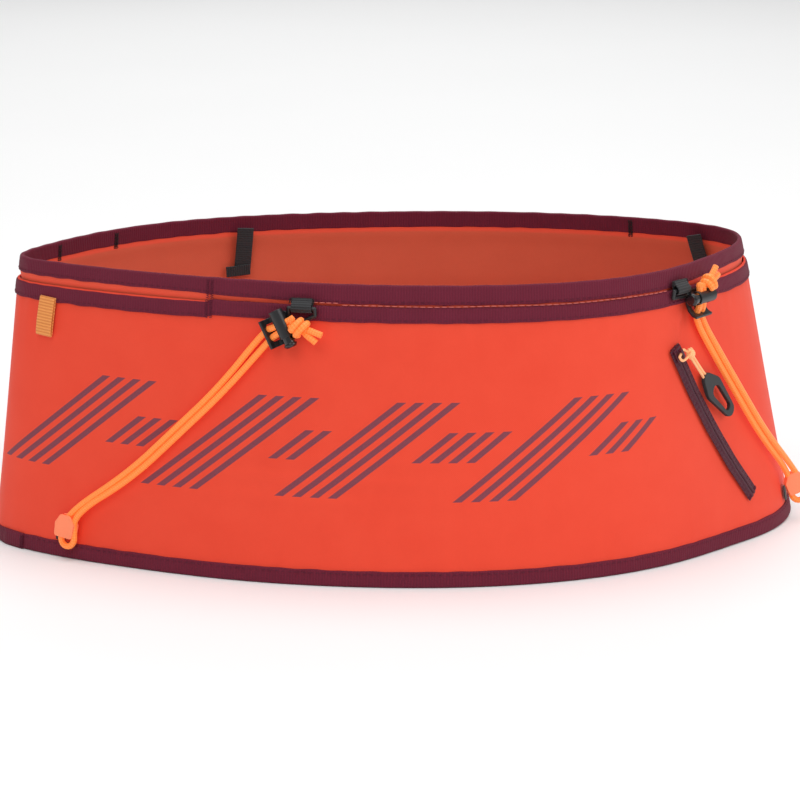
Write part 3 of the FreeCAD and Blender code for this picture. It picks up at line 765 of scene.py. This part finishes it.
def addBand(name, data):
    columns = 1500
    u = np.arange(columns) / columns
    length = roundAt(u)
    rows, half = bandSection(data["outer"], data["inner"])
    way = 1 if data["fold"] > data["edge"] else -1
    fold = data["fold"] + (eased(u, data["foldShift"]) if data["foldShift"] else 0)
    edge = data["edge"] + (eased(u, data["edgeShift"]) if data["edgeShift"] else 0)
    edge = edge + 0.14 * edgeWave(length)
    if data["node"] != "hem_binding":
        fold = fold - way * 0.10 * (1 + edgeWave(length, 40))
    bulge = min(half, 0.9)
    grid = np.empty((len(rows), columns, 3))
    marks = []
    for k, (share, lift, dip) in enumerate(rows):
        z = edge + (fold - way * bulge - edge) * share if share < 1 else fold + way * bulge * dip
        soft = math.sin(math.pi * min(share, 1.0)) if share < 1 else 0.3
        grid[k] = wallPoints(u, z, lift + 0.10 * soft * bandWave(length) + 0.05 * soft * edgeWave(length, 90))
        marks.append(k * 0.55)
    piece = addGrid(name, grid, np.array(marks + [marks[-1] + 0.6]), roundAt(np.append(u, 1.0)),
                    "binding", "belt", wrapRows=True, wrapCols=True)
    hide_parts(data["node"])
    return piece


for name, data in bands.items():
    addBand(name, data)


def addHemLap():
    # the hem binding's end, lapped over its start
    u = np.linspace(0.0130, 0.0292, 40)
    section = [(0.25, 0.5), (0.25, 1.0), (1.6, 1.12), (3.6, 1.14), (5.6, 1.12), (6.9, 1.0), (7.15, 0.5)]
    grid = np.empty((len(section), len(u), 3))
    share = np.clip((u - u[0]) / 0.004, 0, 1)
    for k, (z, lift) in enumerate(section):
        grid[k] = wallPoints(u, z, 0.45 + (lift - 0.45) * share)
    return addGrid("hemLap", grid, np.arange(len(section) + 1) * 1.3, roundAt(u), "binding", "belt",
                   wrapRows=True, endCaps=True)


addHemLap()
print("bindings made")


# stitching

seams = {
    "pitch": 2.9, "length": 2.2, "radius": 0.17,
    "sewn": 1.15,
}


def pocketSeamHeight(length):
    return bands["pocketBinding"]["edge"] + float(eased(uAt(length), pocketShift)) + seams["sewn"]


def rimSeamHeight(length):
    return bands["topBinding"]["edge"] + float(eased(uAt(length), rimShift)) + seams["sewn"]


def addSeams():
    rows = seamPlaces(0, girth, seams["pitch"], pocketSeamHeight, 0.62)
    rows += seamPlaces(1.4, girth, seams["pitch"], rimSeamHeight, -0.10)
    rows += seamPlaces(0.7, girth, seams["pitch"], bands["hemBinding"]["edge"] - seams["sewn"], 0.62)
    stitches("bindingSeams", rows, seams["length"], seams["radius"], "thread", "belt")
    # the mouth is sewn shut along the front with a pale thread
    first, last = roundAt(0.2065), roundAt(0.382)
    closing = seamPlaces(first, last, 3.1, lambda length: 121.15 + 0.12 * math.sin(length / 9), 0.62)
    stitches("mouthSeam", closing, 2.5, 0.19, "paleThread", "belt")
    shortEnd = seamPlaces(roundAt(0.1915), roundAt(0.2040), 3.0, 121.9, 0.3)
    stitches("mouthEndSeam", shortEnd, 2.3, 0.19, "paleThread", "belt")


def tackPlaces(u, low, high, spread, lift, pitch=0.75, inward=False):
    # two rows of short cross stitches
    places = []
    for side in (-1, 1):
        for k, z in enumerate(np.arange(low, high, pitch)):
            along, up, out = wallAxes(u, z)
            wobble = 0.12 * math.sin(k * 2.1 + side)
            middle = wallPoint(u, z, lift) + along * (side * spread + wobble)
            way = (along + up * 0.35 * side).normalized()
            places.append((np.array(middle), np.array(way), np.array(out) * (-1 if inward else 1)))
    return places


def addTacks():
    places = tackPlaces(0.1364, 112.9, 121.0, 0.95, 0.66)
    places += tackPlaces(0.1364, 121.2, 129.2, 0.95, -0.08)
    places += tackPlaces(0.0286, 0.9, 6.6, 0.5, 1.16)
    front = stitches("frontTacks", places, 1.5, 0.2, "thread", "belt")
    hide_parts("front_bartacks")
    inside = []
    for u, low, high in ((0.9467, 121.0, 128.0), (0.8964, 121.0, 128.0), (0.5940, 120.6, 128.5)):
        inside += tackPlaces(u, low, high, 0.55, -2.25, inward=True)
    back = stitches("innerTacks", inside, 1.3, 0.26, "darkThread", "belt")
    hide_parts("inner_bartacks")


addSeams()
addTacks()
print("stitching made")


# webbing

sideLoop = {"u": 0.0385, "top": 113.8, "lift": 0.4, "turn": -4.0, "width": 8.6, "thick": 0.8}
strapLeft = {"u": 0.8114, "lean": 4.0, "length": 22.6}
strapRight = {"u": 0.5527, "lean": -14.0, "length": 19.6}


def addSideLoop():
    place = wallPlace(sideLoop["u"], sideLoop["top"], sideLoop["lift"], sideLoop["turn"])
    path = [(0, 0.8, 0.35), (0, -5, 0.42), (0, -11, 0.5), (0, -15.2, 0.45), (0, -16.5, 0.95),
            (0, -15.2, 1.55), (0, -10, 1.75), (0, -4, 1.5), (0, 0.6, 1.1)]
    loop = addRibbon("sideLoop", place, path, sideLoop["width"], sideLoop["thick"] * 0.8,
                     "orangeWebbing", "belt", ribs=0.10, ribPitch=1.0, step=0.2, narrow=0.04)
    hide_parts("side_loop_tab")


def addStrap(name, node, data, toe):
    place = wallPlace(data["u"], 124.5, -5.9, data["lean"])
    drop = -data["length"]
    strap = addRibbon(name, place, [(0, 0, 0.6), (0, drop * 0.4, 0.3), (0, drop * 0.8, 0.35), (0, drop, 0.4)],
                      8.0, 0.8, "blackWebbing", "belt", ribs=0.08, ribPitch=1.1)
    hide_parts(node)
    if toe:  # the strap's end, folded to one side
        sideways = place @ Matrix.Rotation(math.radians(82), 4, "Z")
        start = Matrix.Rotation(math.radians(-82), 4, "Z") @ Vector((-3.6, drop + 2.6, -0.5))
        path = [(start.x, start.y - y, start.z + z) for y, z in ((0, 0), (4, 0.05), (8, -0.1), (11.6, 0.1))]
        addRibbon(name + "Toe", sideways, path, 5.2, 0.8, "blackWebbing", "belt", ribs=0.08, ribPitch=1.1)


addSideLoop()
addStrap("strapLeft", "inner_strap_left", strapLeft, True)
addStrap("strapRight", "inner_strap_right", strapRight, False)
print("webbing made")


# the pocket zip, a flat curve with one centre

zipLine = {"top": (0.3851, 95.0), "bottom": (0.4447, 20.2), "bow": 355.0, "lift": 0.1,
           "tape": 3.75, "onWall": 0.45, "thick": 0.5}


def zipFrame():
    top = wallPoint(*zipLine["top"], zipLine["lift"])
    bottom = wallPoint(*zipLine["bottom"], zipLine["lift"])
    chord = bottom - top
    middleU = (zipLine["top"][0] + zipLine["bottom"][0]) / 2
    out = wallAxes(middleU, (zipLine["top"][1] + zipLine["bottom"][1]) / 2)[2]
    way = chord.normalized()
    out = (out - way * out.dot(way)).normalized()
    reach = math.sqrt(zipLine["bow"] ** 2 - (chord.length / 2) ** 2)
    centre = (top + bottom) / 2 + out.cross(way) * reach
    start = (top - centre).normalized()
    length = 2 * math.asin(chord.length / 2 / zipLine["bow"]) * zipLine["bow"]
    return axesMatrix(centre, start, out.cross(start), out), length


zipPlace, zipLength = zipFrame()


def zipPoint(across, lift, along):
    turn = along / zipLine["bow"]
    reach = zipLine["bow"] + across
    return zipPlace @ Vector((reach * math.cos(turn), reach * math.sin(turn), lift))


# the tape cut across: distance from the middle line, and height above the wall's rest
tapeSection = [(0.10, 0.20), (0.16, 0.62), (0.5, 0.86), (1.0, 0.88), (1.45, 0.74), (1.75, 0.50),
               (2.1, 0.46), (2.9, 0.47), (3.5, 0.45), (3.74, 0.26), (3.72, 0.05), (2.0, 0.0), (0.3, 0.0)]


def addZipTape(side, name, node):
    # flat tape, with the raised edge where the coil is sewn behind it
    base = zipLine["onWall"]
    section = [(across, base + lift) for across, lift in tapeSection]
    along = np.linspace(-0.5, zipLength + 0.5, 150)
    grid = np.empty((len(section), len(along), 3))
    for k, (across, lift) in enumerate(section):
        for j, place in enumerate(along):
            wave = 0.10 * math.sin(place / 5.3 + side) * (across / zipLine["tape"]) ** 2
            wave += 0.05 * math.sin(place / 2.1 + across)
            edge = across + (0.08 * math.sin(place / 3.7 + 2 * side) if across > 3 else 0)
            grid[k, j] = zipPoint(side * edge, lift + wave * (lift - base) / 0.5, place)
    marks = np.array([s[0] for s in section] + [section[0][0]])
    tape = addGrid(name, grid, marks, along, "tape", "belt", wrapRows=True, endCaps=True)
    turnTexture(tape)
    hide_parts(node)


def zipStitchPlaces():
    places = []
    out = np.array(zipPlace.to_3x3() @ Vector((0, 0, 1)))
    top = zipLine["onWall"] + zipLine["thick"]
    for across in (-3.05, -1.95, 1.95, 3.05):
        for along in np.arange(0.6, zipLength, 2.4):
            way = (zipPoint(across, top, along + 0.5) - zipPoint(across, top, along - 0.5)).normalized()
            places.append((np.array(zipPoint(across, top - 0.02, along)), np.array(way), out))
    for along in (0.3, 1.0, zipLength - 1.0, zipLength - 0.3):
        for across in np.arange(-3.2, 3.3, 0.8):
            way = (zipPoint(across + 0.5, top, along) - zipPoint(across - 0.5, top, along)).normalized()
            places.append((np.array(zipPoint(across, top + 0.05, along)), np.array(way), out))
    return places


addZipTape(1, "zipTapeFront", "zip_tape_front")
addZipTape(-1, "zipTapeRear", "zip_tape_rear")
stitches("zipSeams", zipStitchPlaces(), 1.6, 0.15, "thread", "belt")
moulded("zipSliderBody", "zip_slider", 0.14, 3, "enamel", "slider")


# the puller

puller = {"heading": -48.0, "eye": 2.6, "bail": 2.2, "bead": (3.5, -4.1, 0.9), "ringDrop": 23.4}


def pullerPlace():
    lift = zipLine["onWall"] + zipLine["thick"] + 0.3 + 0.9 + puller["bail"] / 2
    out = (zipPlace.to_3x3() @ Vector((0, 0, 1))).normalized()
    level = Vector((0, 0, 1)).cross(out).normalized()
    rise = out.cross(level)
    heading = math.radians(puller["heading"])
    down = level * math.cos(heading) + rise * math.sin(heading)
    return axesMatrix(zipPoint(0, lift, puller["eye"]), out.cross(down), -down, out), lift


def addPuller():
    place, lift = pullerPlace()
    low = -(lift - 1.7 - 1.0)
    x, y, z = puller["bead"]
    foot = -puller["ringDrop"] + 0.6

    def laid(points):
        return [place @ Vector(p) for p in throughPoints(points, 10)]

    loop = [(x, y, z), (0.6, -3.9, 0.5), (-2.0, -2.6, 0.05), (-2.2, 0, 0), (-0.8, 0.1, 0),
            (0.8, 0.1, 0), (2.2, -0.1, 0), (2.7, -1.6, 0.2), (x, y, z)]
    first = addTube("pullerLoop", laid(loop), 0.58, "thinCord", "puller")
    half = [(0.72, y, z), (0.75, y - 4, z * 0.5 + low * 0.5), (0.74, foot + 5, low + 0.1),
            (0.9, foot + 2.4, low), (0.7, foot + 0.3, low)]
    legs = [(x - across, *rest) for across, *rest in half] + [(x, foot - 0.1, low)]
    legs += [(x + across, *rest) for across, *rest in half[::-1]]
    second = addTube("pullerLegs", laid(legs), 0.6, "thinCord", "puller")
    turns = []
    for k in np.linspace(0, 2.6, 40):
        turn = 2 * math.pi * k
        turns.append((x + 1.55 * math.cos(turn), y + 1.0 - 0.95 * k + 0.3 * math.cos(turn),
                      z + 1.25 * math.sin(turn)))
    hitch = addTube("pullerHitch", [place @ Vector(p) for p in turns], 0.62, "thinCord", "puller")
    tails = [(x + 0.3, y + 0.6, z + 0.4), (x + 0.1, y + 1.9, z + 0.8), (x - 0.4, y + 3.1, z + 0.9)]
    end = addTube("pullerTail", laid(tails), 0.58, "thinCord", "puller")
    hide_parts("puller_cord")
    ring = moulded("pullerRingBody", "puller_ring", 0.22, 7, "rubber", "puller")


addPuller()
print("zip and puller made")


# the cord carriers

carrier = {
    "radius": 1.4, "pitch": 2.9, "lipPitch": 4.6, "middle": -0.6, "barrel": 5.7, "hookLift": 3.4,
    "left": {
        "lock": (0.1772, 110.6), "angle": -62.5, "mirror": 1, "pivot": (0.1853, 119.6),
        "knot": (0.1850, 111.9), "knotTurn": -25.0,
        "stations": ((0.1458, 83.0, 2.9), (0.1220, 62.0, 2.5), (0.0975, 41.0, 2.5)),
        "front": 0.0, "hook": (0.0615, 14.6, 0.0), "hookTurn": 6.0, "anchor": (0.0560, 11.5),
    },
    "right": {
        "lock": (0.4043, 115.4), "angle": 180.0, "mirror": -1, "pivot": (0.3915, 120.6),
        "knot": (0.4112, 120.0), "knotTurn": 35.0,
        "stations": ((0.4222, 85.8, 3.6), (0.4402, 66.0, 3.6), (0.4572, 46.2, 3.8)),
        "front": 0.85, "hook": (0.4832, 17.0, 6.6), "hookTurn": 20.0, "anchor": (0.4832, 12.0),
    },
}


def lockMatrix(side):
    data = carrier[side]
    along, up, out = wallAxes(*data["lock"])
    turn = math.radians(data["angle"])
    xWay = along * math.cos(turn) + up * math.sin(turn)
    return axesMatrix(wallPoint(*data["lock"]), xWay, out.cross(xWay) * data["mirror"], out)


def pairWay(side):
    data = carrier[side]
    wallOut = wallAxes(data["stations"][1][0], 60.0)[2]
    return (wallOut * (1 - data["front"]) + Vector((-0.1, -1, 0)) * data["front"]).normalized()


def hookPlace(side):
    data = carrier[side]
    u, z, lift = data["hook"]
    out = wallAxes(u, z)[2] if data["front"] == 0 else pairWay(side)
    along = Vector((0, 0, 1)).cross(out).normalized()
    origin = wallPoint(u, z, lift)
    if data["front"] > 0:
        origin = origin - out * carrier["hookLift"]
    turn = Matrix.Rotation(math.radians(-data["hookTurn"] * data["mirror"]), 4, "Z")
    return axesMatrix(origin, along, out.cross(along), out) @ turn


def strandRoute(side, offset):
    # one strand from the knot through the lock and down to the hook
    data = carrier[side]
    flip = data["mirror"]
    lock = lockMatrix(side)
    near = carrier["middle"] + offset * carrier["pitch"] / 2
    wide = carrier["middle"] + offset * carrier["lipPitch"] / 2
    points = [lock @ Vector((near, 4.6, carrier["barrel"])), lock @ Vector((near, -3.8, carrier["barrel"])),
              lock @ Vector((wide, -8.6, 2.0))]
    hook = hookPlace(side)
    stations = [wallPoint(*s) for s in data["stations"]]
    out = pairWay(side)
    for here, after in zip(stations, stations[1:] + [hook @ Vector((0, 6.0, carrier["hookLift"]))]):
        across = (after - here).cross(out).normalized()
        points.append(here - across * (offset * flip * carrier["pitch"] / 2))
    for x, y in ((carrier["pitch"] / 2, 6.5), (3.4, -4.0), (3.4, -6.2), (1.7, -8.6)):
        points.append(hook @ Vector((offset * flip * x, y, carrier["hookLift"])))
    return points


def splinePoints(name, route):
    # the cord's smooth line, a quadratic spline with the route as its control points
    curve = bpy.data.curves.new(name, "CURVE")
    curve.dimensions = "3D"
    spline = curve.splines.new("NURBS")
    spline.points.add(len(route) - 1)
    for point, place in zip(spline.points, route):
        point.co = (*(place * mm), 1.0)
    spline.order_u = 3
    spline.use_endpoint_u = True
    spline.resolution_u = 24
    holder = bpy.data.objects.new(name, curve)
    mesh = bpy.data.meshes.new_from_object(holder)
    line = np.array([v.co for v in mesh.vertices]) / mm
    bpy.data.objects.remove(holder)
    bpy.data.meshes.remove(mesh)
    return line


def evenly(line, step):
    lengths = np.concatenate([[0], np.cumsum(np.linalg.norm(np.diff(line, axis=0), axis=1))])
    marks = np.linspace(0, lengths[-1], int(lengths[-1] / step) + 1)
    return np.stack([np.interp(marks, lengths, line[:, k]) for k in range(3)], -1), lengths[-1]


def braidProfile(radius, pitch, depth):
    def profile(along, turn):
        left = np.sin((along / pitch + turn / (2 * math.pi) * 8) * math.pi)
        right = np.sin((along / pitch - turn / (2 * math.pi) * 8) * math.pi)
        return radius * (1 + depth * left * right)
    return profile


def clearOfBarrel(lock, line):
    # the same points, moved out to where a strand just clears the barrel and the button
    back = lock.inverted()
    room = 3.1 + carrier["radius"] + 0.12
    cleared = []
    for point in line:
        place = back @ point
        height = min(abs(place.z - carrier["barrel"]), room)
        place.y = max(place.y, math.sqrt(room ** 2 - height ** 2))
        cleared.append(lock @ place)
    return np.array(cleared)


def addKnot(side):
    # an overhand knot in both strands: one turn each round the pair, then the tails
    data = carrier[side]
    place = wallPlace(*data["knot"], carrier["barrel"] + 0.3, data["knotTurn"])
    back = place.inverted()
    lock = lockMatrix(side)
    pieces = []
    for k in (-1, 1):
        near = carrier["middle"] + k * carrier["pitch"] / 2
        start = back @ (lock @ Vector((near, 4.62, carrier["barrel"])))
        onward = back @ (lock @ Vector((near, 5.4, carrier["barrel"] + 0.2)))
        turnPoints = []
        for degrees in (205, 160, 115, 70, 25, -20, -65, -110):
            turn = math.radians(degrees)
            slant = 1.1 * math.cos(turn)
            turnPoints.append((k * 1.5 + slant - 0.2, 3.5 * math.cos(turn), 0.3 + 2.75 * math.sin(turn)))
        end = (10.4, 2.0 * k, 0.6) if k > 0 else (9.6, 2.1 * k, 0.2)
        points = [tuple(start), tuple(onward)] + turnPoints
        points += [(2.2, 0.6 * k, -0.9), (4.6, 1.2 * k, -0.1), (7.4, 1.6 * k, 0.4), end]
        cleared = clearOfBarrel(lock, [place @ Vector(p) for p in throughPoints(points, 10)])
        line = evenly(cleared, 0.3)[0]
        piece = addTube("knotStrand" + side.title() + ("A" if k < 0 else "B"), line, 1.38, "cord",
                        "carrier_" + side, 20, braidProfile(1.38, 1.15, 0.035))
        pieces.append(piece)
    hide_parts("cord_knot_" + side)
    return pieces


def addCarrier(side):
    title = side.title()
    body = "carrier_" + side
    route = strandRoute(side, -1) + strandRoute(side, 1)[::-1]
    line, length = evenly(splinePoints("route" + title, route), 0.35)
    cord = addTube("carrierCord" + title, line, carrier["radius"], "cord", body, 20,
                   braidProfile(carrier["radius"], 1.15, 0.035))
    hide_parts("carrier_cord_" + side)
    knot = addKnot(side)
    hook = moulded("hookPlate" + title, "cord_hook_" + side, 0.2, 5, "hook", body)
    moulded("lockFrameBody" + title, "lock_frame_" + side, 0.17, 4, "lock", body)
    moulded("lockBarrelBody" + title, "lock_barrel_" + side, 0.15, 3, "lock", body)
    moulded("lockButtonBody" + title, "lock_plunger_" + side, 0.15, 3, "button", "button_" + side)
    addSpring(side)
    addLockTab(side)
    print("carrier", side, "made, cord", round(length, 1), "mm")


spring = {"turns": 3, "radius": 1.95, "wire": 0.2, "start": -6.9, "length": 2.9, "closed": -7.1,
          "keep": 0.14}


def addSpring(side):
    # the button's spring, built as one fixed coil; the real one flattens as the button goes in
    lock = lockMatrix(side)
    points = []
    for turn in np.linspace(0, spring["turns"], 90):
        angle = 2 * math.pi * turn
        points.append(lock @ Vector((spring["start"] + spring["length"] * turn / spring["turns"],
                                     spring["radius"] * math.cos(angle),
                                     carrier["barrel"] + spring["radius"] * math.sin(angle))))
    coil = addTube("springCoil" + side.title(), points, spring["wire"], "spring", "carrier_" + side, 10)
    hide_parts("lock_spring_" + side)
    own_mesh(coil)


def addLockTab(side):
    # the webbing over the frame's bar, folded and sewn down with a dark bar of stitches
    data = carrier[side]
    place = wallPlace(*data["pivot"], 2.7)
    path = [(0, 4.2, -1.55), (0, 1.6, -1.6), (0, 0, -1.62), (0, -1.15, -1.15), (0, -1.6, 0), (0, -1.15, 1.15),
            (0, 0, 1.58), (0, 1.4, 1.1), (0, 3.0, -0.3), (0, 4.3, -0.85)]
    tab = addRibbon("lockTab" + side.title(), place, path, 9.0, 0.66, "blackWebbing", "belt",
                    ribs=0.06, ribPitch=0.9, step=0.15)
    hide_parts("lock_tab_" + side)
    places = []
    for row in (2.6, 3.7):
        for k, x in enumerate(np.arange(-5.4, 5.5, 0.75)):
            middle = place @ Vector((x, row + 0.2 * math.sin(k * 1.7), -0.35 if row < 3 else -0.75))
            way = place.to_3x3() @ Vector((0.45, 1, 0.0)).normalized()
            out = place.to_3x3() @ Vector((0, 0, 1))
            places.append((np.array(middle), np.array(way), np.array(out)))
    stitches("lockTack" + side.title(), places, 1.7, 0.22, "darkThread", "belt")


for side in ("left", "right"):
    addCarrier(side)


# CAD parts that keep their own shape

# the hem anchors are black webbing pieces; the right one's dark patch also stands for the cord's shadow on
# the hem, painted shade
kept = {"zip_coil_front": "coil", "zip_coil_rear": "coil", "zip_stops": "enamel",
        "zip_pocket_lining": "lining", "hem_anchor_left": "blackWebbing", "hem_anchor_right": "blackWebbing"}
for node, finish in kept.items():
    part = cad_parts[node]
    part.data.materials.clear()
    part.data.materials.append(finishes[finish])


# floor, lights and camera

studio = {
    "floor": 6.0, "floorColour": rgb(250, 250, 250),
    "target": (-5.0, -27.0, 65.0), "distance": 1400.0, "height": 14.0, "turn": 8.0, "lens": 140.3,
    "lights": [("key", (-0.9, -1.6, 1.9), 1.5, 14.0), ("fill", (1.7, -1.1, 1.2), 1.6, 14.0),
               ("top", (0.1, 0.2, 2.3), 2.2, 28.0), ("back", (0.2, 1.9, 1.2), 1.6, 6.0)],
    "world": 0.41,
}


def addFloor():
    size = studio["floor"]
    mesh = bpy.data.meshes.new("floor")
    corners = [(-size, -size, 0), (size, -size, 0), (size, size, 0), (-size, size, 0)]
    mesh.from_pydata(corners, [], [(0, 1, 2, 3)])
    floor = bpy.data.objects.new("floor", mesh)
    bpy.context.collection.objects.link(floor)
    finish = Finish("paleFloor", Roughness=0.9)
    grain = finish.noise(3.0, 2.0)
    finish.feed(Base_Color=finish.blend(grain, studio["floorColour"], rgb(247, 247, 247)))
    mesh.materials.append(finish.material)


def addLights():
    target = Vector((0, 0, 0.06))
    for name, place, size, power in studio["lights"]:
        lamp = bpy.data.lights.new(name, "AREA")
        lamp.shape = "DISK"
        lamp.size = size
        lamp.energy = power
        holder = bpy.data.objects.new(name, lamp)
        bpy.context.collection.objects.link(holder)
        holder.location = place
        holder.rotation_euler = (target - Vector(place)).to_track_quat("-Z", "Y").to_euler()
    world = bpy.data.worlds.new("studio")
    world.use_nodes = True
    background = world.node_tree.nodes["Background"]
    background.inputs[0].default_value = (1, 1, 1, 1)
    background.inputs[1].default_value = studio["world"]
    bpy.context.scene.world = world


def addCamera():
    camera = bpy.data.cameras.new("camera")
    camera.lens = studio["lens"]
    camera.clip_start = 0.05
    camera.clip_end = 20
    holder = bpy.data.objects.new("camera", camera)
    bpy.context.collection.objects.link(holder)
    turn, height = math.radians(studio["turn"]), math.radians(studio["height"])
    away = Vector((-math.sin(turn) * math.cos(height), -math.cos(turn) * math.cos(height), math.sin(height)))
    target = Vector(studio["target"]) * mm
    holder.location = target + away * studio["distance"] * mm
    holder.rotation_euler = (-away).to_track_quat("-Z", "Y").to_euler()
    bpy.context.scene.camera = holder


addFloor()
addLights()
addCamera()
bpy.context.scene.view_settings.view_transform = "Standard"

print("scene made")
